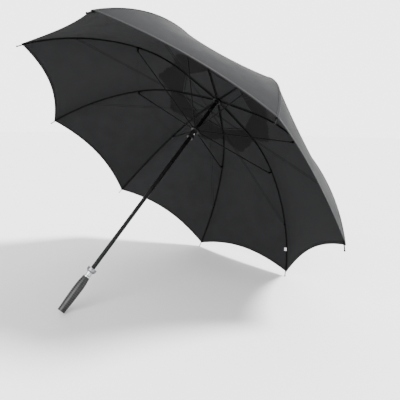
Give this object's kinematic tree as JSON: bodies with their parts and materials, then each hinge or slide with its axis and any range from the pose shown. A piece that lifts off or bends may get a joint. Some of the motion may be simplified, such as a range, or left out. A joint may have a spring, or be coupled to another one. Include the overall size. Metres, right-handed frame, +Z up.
{
  "type": "golf umbrella",
  "caption": "Large golf umbrella lying open, with a vented double canopy, curved ribs, straight stretchers, tension cords and a ribbed straight grip.",
  "frame": {"origin": "on the floor, under the middle of the open umbrella's bounding box", "axes": "+Z up; +Y level, the way the shaft points from grip to ferrule; +X to the right seen from the grip"},
  "size_m": [1.1558, 0.8743, 0.8603],
  "materials": {
    "fabric": "plain weave pongee",
    "strap": "plain weave",
    "cord": "braided",
    "fibreglass": "satin",
    "black_steel": "gloss",
    "wire": "drawn wire",
    "rubber": "matte",
    "chrome": "polished",
    "dark_chrome": "polished",
    "ferrule": "metallic lacquer",
    "black_plastic": "moulded"
  },
  "bodies": {
    "frame": {"shaft": "black_steel", "grip": "rubber", "neck_collar": "chrome", "tip_cup": "dark_chrome", "notch": "black_plastic", "notch_wire": "wire", "ferrule": "ferrule", "cord_collar": "black_plastic"},
    "runner": {"runner": "black_plastic", "runner_wire": "wire"},
    "runner_button": {"runner_button": "chrome"},
    "rib_inner_1": {"rib_inner_1": "fibreglass", "canopy_crown_1": "fabric"},
    "rib_outer_1": {"rib_outer_1": "fibreglass", "canopy_skirt_1": "fabric"},
    "stretcher_1": {"stretcher_1": "fibreglass"},
    "tension_cord_1": {"tension_cord_1": "cord"},
    "rib_inner_2": {"rib_inner_2": "fibreglass", "canopy_crown_2": "fabric"},
    "rib_outer_2": {"rib_outer_2": "fibreglass", "canopy_skirt_2": "fabric"},
    "stretcher_2": {"stretcher_2": "fibreglass"},
    "tension_cord_2": {"tension_cord_2": "cord"},
    "rib_inner_3": {"rib_inner_3": "fibreglass", "canopy_crown_3": "fabric"},
    "rib_outer_3": {"rib_outer_3": "fibreglass", "canopy_skirt_3": "fabric"},
    "stretcher_3": {"stretcher_3": "fibreglass"},
    "tension_cord_3": {"tension_cord_3": "cord"},
    "rib_inner_4": {"rib_inner_4": "fibreglass", "canopy_crown_4": "fabric"},
    "rib_outer_4": {"rib_outer_4": "fibreglass", "canopy_skirt_4": "fabric"},
    "stretcher_4": {"stretcher_4": "fibreglass"},
    "tension_cord_4": {"tension_cord_4": "cord"},
    "rib_inner_5": {"rib_inner_5": "fibreglass", "canopy_crown_5": "fabric"},
    "rib_outer_5": {"rib_outer_5": "fibreglass", "canopy_skirt_5": "fabric", "tie_strap": "strap"},
    "stretcher_5": {"stretcher_5": "fibreglass"},
    "tension_cord_5": {"tension_cord_5": "cord"},
    "rib_inner_6": {"rib_inner_6": "fibreglass", "canopy_crown_6": "fabric"},
    "rib_outer_6": {"rib_outer_6": "fibreglass", "canopy_skirt_6": "fabric"},
    "stretcher_6": {"stretcher_6": "fibreglass"},
    "tension_cord_6": {"tension_cord_6": "cord"},
    "rib_inner_7": {"rib_inner_7": "fibreglass", "canopy_crown_7": "fabric"},
    "rib_outer_7": {"rib_outer_7": "fibreglass", "canopy_skirt_7": "fabric"},
    "stretcher_7": {"stretcher_7": "fibreglass"},
    "tension_cord_7": {"tension_cord_7": "cord"},
    "rib_inner_8": {"rib_inner_8": "fibreglass", "canopy_crown_8": "fabric"},
    "rib_outer_8": {"rib_outer_8": "fibreglass", "canopy_skirt_8": "fabric"},
    "stretcher_8": {"stretcher_8": "fibreglass"},
    "tension_cord_8": {"tension_cord_8": "cord"}
  },
  "joints": [
    {"name": "canopy_fold", "type": "hinge", "parent": "frame", "child": "rib_inner_1", "pos_m": [0.01155, 0.23566, 0.66216], "axis": [-0.3827, 0.6613, -0.6451], "range_deg": [0, 75.22], "deforming": ["canopy_crown_1"]},
    {"name": "rib_flex_1", "type": "hinge", "parent": "rib_inner_1", "child": "rib_outer_1", "pos_m": [0.3206, 0.28051, 0.52482], "axis": [-0.3827, 0.6613, -0.6451], "range_deg": [-32.3, 0], "deforming": ["canopy_skirt_1"]},
    {"name": "stretcher_fold_1", "type": "hinge", "parent": "rib_inner_1", "child": "stretcher_1", "pos_m": [0.3146, 0.27087, 0.51849], "axis": [-0.3827, 0.6613, -0.6451], "range_deg": [-150.49, 0]},
    {"name": "cord_fold_1", "type": "hinge", "parent": "frame", "child": "tension_cord_1", "pos_m": [0.00924, 0.19587, 0.62274], "axis": [-0.3827, 0.6613, -0.6451], "range_deg": [0, 67.76]},
    {"name": "rib_fold_2", "type": "hinge", "parent": "frame", "child": "rib_inner_2", "pos_m": [0.00478, 0.2405, 0.65743], "axis": [-0.9239, 0.2739, -0.2672], "range_deg": [0, 75.24], "deforming": ["canopy_crown_2"]},
    {"name": "rib_flex_2", "type": "hinge", "parent": "rib_inner_2", "child": "rib_outer_2", "pos_m": [0.1328, 0.41495, 0.39367], "axis": [-0.9239, 0.2739, -0.2672], "range_deg": [-32.3, 0], "deforming": ["canopy_skirt_2"]},
    {"name": "stretcher_fold_2", "type": "hinge", "parent": "rib_inner_2", "child": "stretcher_2", "pos_m": [0.13031, 0.40279, 0.38981], "axis": [-0.9239, 0.2739, -0.2672], "range_deg": [-150.49, 0]},
    {"name": "cord_fold_2", "type": "hinge", "parent": "frame", "child": "tension_cord_2", "pos_m": [0.00383, 0.19974, 0.61896], "axis": [-0.9239, 0.2739, -0.2672], "range_deg": [0, 67.76]},
    {"name": "rib_fold_3", "type": "hinge", "parent": "frame", "child": "rib_inner_3", "pos_m": [-0.00478, 0.2405, 0.65743], "axis": [-0.9239, -0.2739, 0.2672], "range_deg": [0, 75.24], "deforming": ["canopy_crown_3"]},
    {"name": "rib_flex_3", "type": "hinge", "parent": "rib_inner_3", "child": "rib_outer_3", "pos_m": [-0.1328, 0.41495, 0.39367], "axis": [-0.9239, -0.2739, 0.2672], "range_deg": [-32.3, 0], "deforming": ["canopy_skirt_3"]},
    {"name": "stretcher_fold_3", "type": "hinge", "parent": "rib_inner_3", "child": "stretcher_3", "pos_m": [-0.13031, 0.40279, 0.38981], "axis": [-0.9239, -0.2739, 0.2672], "range_deg": [-150.49, 0]},
    {"name": "cord_fold_3", "type": "hinge", "parent": "frame", "child": "tension_cord_3", "pos_m": [-0.00383, 0.19974, 0.61896], "axis": [-0.9239, -0.2739, 0.2672], "range_deg": [0, 67.76]},
    {"name": "rib_fold_4", "type": "hinge", "parent": "frame", "child": "rib_inner_4", "pos_m": [-0.01155, 0.23566, 0.66216], "axis": [-0.3827, -0.6613, 0.6451], "range_deg": [0, 75.24], "deforming": ["canopy_crown_4"]},
    {"name": "rib_flex_4", "type": "hinge", "parent": "rib_inner_4", "child": "rib_outer_4", "pos_m": [-0.3206, 0.28051, 0.52482], "axis": [-0.3827, -0.6613, 0.6451], "range_deg": [-32.3, 0], "deforming": ["canopy_skirt_4"]},
    {"name": "stretcher_fold_4", "type": "hinge", "parent": "rib_inner_4", "child": "stretcher_4", "pos_m": [-0.3146, 0.27087, 0.51849], "axis": [-0.3827, -0.6613, 0.6451], "range_deg": [-150.49, 0]},
    {"name": "cord_fold_4", "type": "hinge", "parent": "frame", "child": "tension_cord_4", "pos_m": [-0.00924, 0.19587, 0.62274], "axis": [-0.3827, -0.6613, 0.6451], "range_deg": [0, 67.76]},
    {"name": "rib_fold_5", "type": "hinge", "parent": "frame", "child": "rib_inner_5", "pos_m": [-0.01155, 0.22881, 0.66884], "axis": [0.3827, -0.6613, 0.6451], "range_deg": [0, 75.24], "deforming": ["canopy_crown_5"]},
    {"name": "rib_flex_5", "type": "hinge", "parent": "rib_inner_5", "child": "rib_outer_5", "pos_m": [-0.3206, 0.0904, 0.71028], "axis": [0.3827, -0.6613, 0.6451], "range_deg": [-32.3, 0], "deforming": ["canopy_skirt_5"]},
    {"name": "stretcher_fold_5", "type": "hinge", "parent": "rib_inner_5", "child": "stretcher_5", "pos_m": [-0.3146, 0.08431, 0.70048], "axis": [0.3827, -0.6613, 0.6451], "range_deg": [-150.49, 0]},
    {"name": "cord_fold_5", "type": "hinge", "parent": "frame", "child": "tension_cord_5", "pos_m": [-0.00924, 0.19039, 0.62808], "axis": [0.3827, -0.6613, 0.6451], "range_deg": [0, 67.76]},
    {"name": "rib_fold_6", "type": "hinge", "parent": "frame", "child": "rib_inner_6", "pos_m": [-0.00478, 0.22396, 0.67356], "axis": [0.9239, -0.2739, 0.2672], "range_deg": [0, 75.24], "deforming": ["canopy_crown_6"]},
    {"name": "rib_flex_6", "type": "hinge", "parent": "rib_inner_6", "child": "rib_outer_6", "pos_m": [-0.1328, -0.04404, 0.84142], "axis": [0.9239, -0.2739, 0.2672], "range_deg": [-32.3, 0], "deforming": ["canopy_skirt_6"]},
    {"name": "stretcher_fold_6", "type": "hinge", "parent": "rib_inner_6", "child": "stretcher_6", "pos_m": [-0.13031, -0.0476, 0.82917], "axis": [0.9239, -0.2739, 0.2672], "range_deg": [-150.49, 0]},
    {"name": "cord_fold_6", "type": "hinge", "parent": "frame", "child": "tension_cord_6", "pos_m": [-0.00383, 0.18651, 0.63186], "axis": [0.9239, -0.2739, 0.2672], "range_deg": [0, 67.76]},
    {"name": "rib_fold_7", "type": "hinge", "parent": "frame", "child": "rib_inner_7", "pos_m": [0.00478, 0.22396, 0.67356], "axis": [0.9239, 0.2739, -0.2672], "range_deg": [0, 75.24], "deforming": ["canopy_crown_7"]},
    {"name": "rib_flex_7", "type": "hinge", "parent": "rib_inner_7", "child": "rib_outer_7", "pos_m": [0.1328, -0.04404, 0.84142], "axis": [0.9239, 0.2739, -0.2672], "range_deg": [-32.3, 0], "deforming": ["canopy_skirt_7"]},
    {"name": "stretcher_fold_7", "type": "hinge", "parent": "rib_inner_7", "child": "stretcher_7", "pos_m": [0.13031, -0.0476, 0.82917], "axis": [0.9239, 0.2739, -0.2672], "range_deg": [-150.49, 0]},
    {"name": "cord_fold_7", "type": "hinge", "parent": "frame", "child": "tension_cord_7", "pos_m": [0.00383, 0.18651, 0.63186], "axis": [0.9239, 0.2739, -0.2672], "range_deg": [0, 67.76]},
    {"name": "rib_fold_8", "type": "hinge", "parent": "frame", "child": "rib_inner_8", "pos_m": [0.01155, 0.22881, 0.66884], "axis": [0.3827, 0.6613, -0.6451], "range_deg": [0, 75.24], "deforming": ["canopy_crown_8"]},
    {"name": "rib_flex_8", "type": "hinge", "parent": "rib_inner_8", "child": "rib_outer_8", "pos_m": [0.3206, 0.0904, 0.71028], "axis": [0.3827, 0.6613, -0.6451], "range_deg": [-32.3, 0], "deforming": ["canopy_skirt_8"]},
    {"name": "stretcher_fold_8", "type": "hinge", "parent": "rib_inner_8", "child": "stretcher_8", "pos_m": [0.3146, 0.08431, 0.70048], "axis": [0.3827, 0.6613, -0.6451], "range_deg": [-150.49, 0]},
    {"name": "cord_fold_8", "type": "hinge", "parent": "frame", "child": "tension_cord_8", "pos_m": [0.00924, 0.19039, 0.62808], "axis": [0.3827, 0.6613, -0.6451], "range_deg": [0, 67.76]},
    {"name": "runner_follow", "type": "hinge", "parent": "stretcher_1", "child": "runner", "pos_m": [0.01155, 0.12638, 0.55014], "axis": [-0.3827, 0.6613, -0.6451], "range_deg": [0, 75.24]},
    {"name": "runner_button_press", "type": "slide", "parent": "runner", "child": "runner_button", "axis": [-1, 0, 0], "range_m": [0, 0.0018], "stiffness_N_per_m": 400}
  ],
  "couplings": [
    {"joint": "rib_flex_1", "follows": "canopy_fold", "ratio": -0.42907},
    {"joint": "stretcher_fold_1", "follows": "canopy_fold", "ratio": -2},
    {"joint": "cord_fold_1", "follows": "canopy_fold", "ratio": 0.90048},
    {"joint": "rib_fold_2", "follows": "canopy_fold", "ratio": 1},
    {"joint": "rib_flex_2", "follows": "canopy_fold", "ratio": -0.42907},
    {"joint": "stretcher_fold_2", "follows": "canopy_fold", "ratio": -2},
    {"joint": "cord_fold_2", "follows": "canopy_fold", "ratio": 0.90048},
    {"joint": "rib_fold_3", "follows": "canopy_fold", "ratio": 1},
    {"joint": "rib_flex_3", "follows": "canopy_fold", "ratio": -0.42907},
    {"joint": "stretcher_fold_3", "follows": "canopy_fold", "ratio": -2},
    {"joint": "cord_fold_3", "follows": "canopy_fold", "ratio": 0.90048},
    {"joint": "rib_fold_4", "follows": "canopy_fold", "ratio": 1},
    {"joint": "rib_flex_4", "follows": "canopy_fold", "ratio": -0.42907},
    {"joint": "stretcher_fold_4", "follows": "canopy_fold", "ratio": -2},
    {"joint": "cord_fold_4", "follows": "canopy_fold", "ratio": 0.90048},
    {"joint": "rib_fold_5", "follows": "canopy_fold", "ratio": 1},
    {"joint": "rib_flex_5", "follows": "canopy_fold", "ratio": -0.42907},
    {"joint": "stretcher_fold_5", "follows": "canopy_fold", "ratio": -2},
    {"joint": "cord_fold_5", "follows": "canopy_fold", "ratio": 0.90048},
    {"joint": "rib_fold_6", "follows": "canopy_fold", "ratio": 1},
    {"joint": "rib_flex_6", "follows": "canopy_fold", "ratio": -0.42907},
    {"joint": "stretcher_fold_6", "follows": "canopy_fold", "ratio": -2},
    {"joint": "cord_fold_6", "follows": "canopy_fold", "ratio": 0.90048},
    {"joint": "rib_fold_7", "follows": "canopy_fold", "ratio": 1},
    {"joint": "rib_flex_7", "follows": "canopy_fold", "ratio": -0.42907},
    {"joint": "stretcher_fold_7", "follows": "canopy_fold", "ratio": -2},
    {"joint": "cord_fold_7", "follows": "canopy_fold", "ratio": 0.90048},
    {"joint": "rib_fold_8", "follows": "canopy_fold", "ratio": 1},
    {"joint": "rib_flex_8", "follows": "canopy_fold", "ratio": -0.42907},
    {"joint": "stretcher_fold_8", "follows": "canopy_fold", "ratio": -2},
    {"joint": "cord_fold_8", "follows": "canopy_fold", "ratio": 0.90048},
    {"joint": "runner_follow", "follows": "canopy_fold", "ratio": 1}
  ]
}
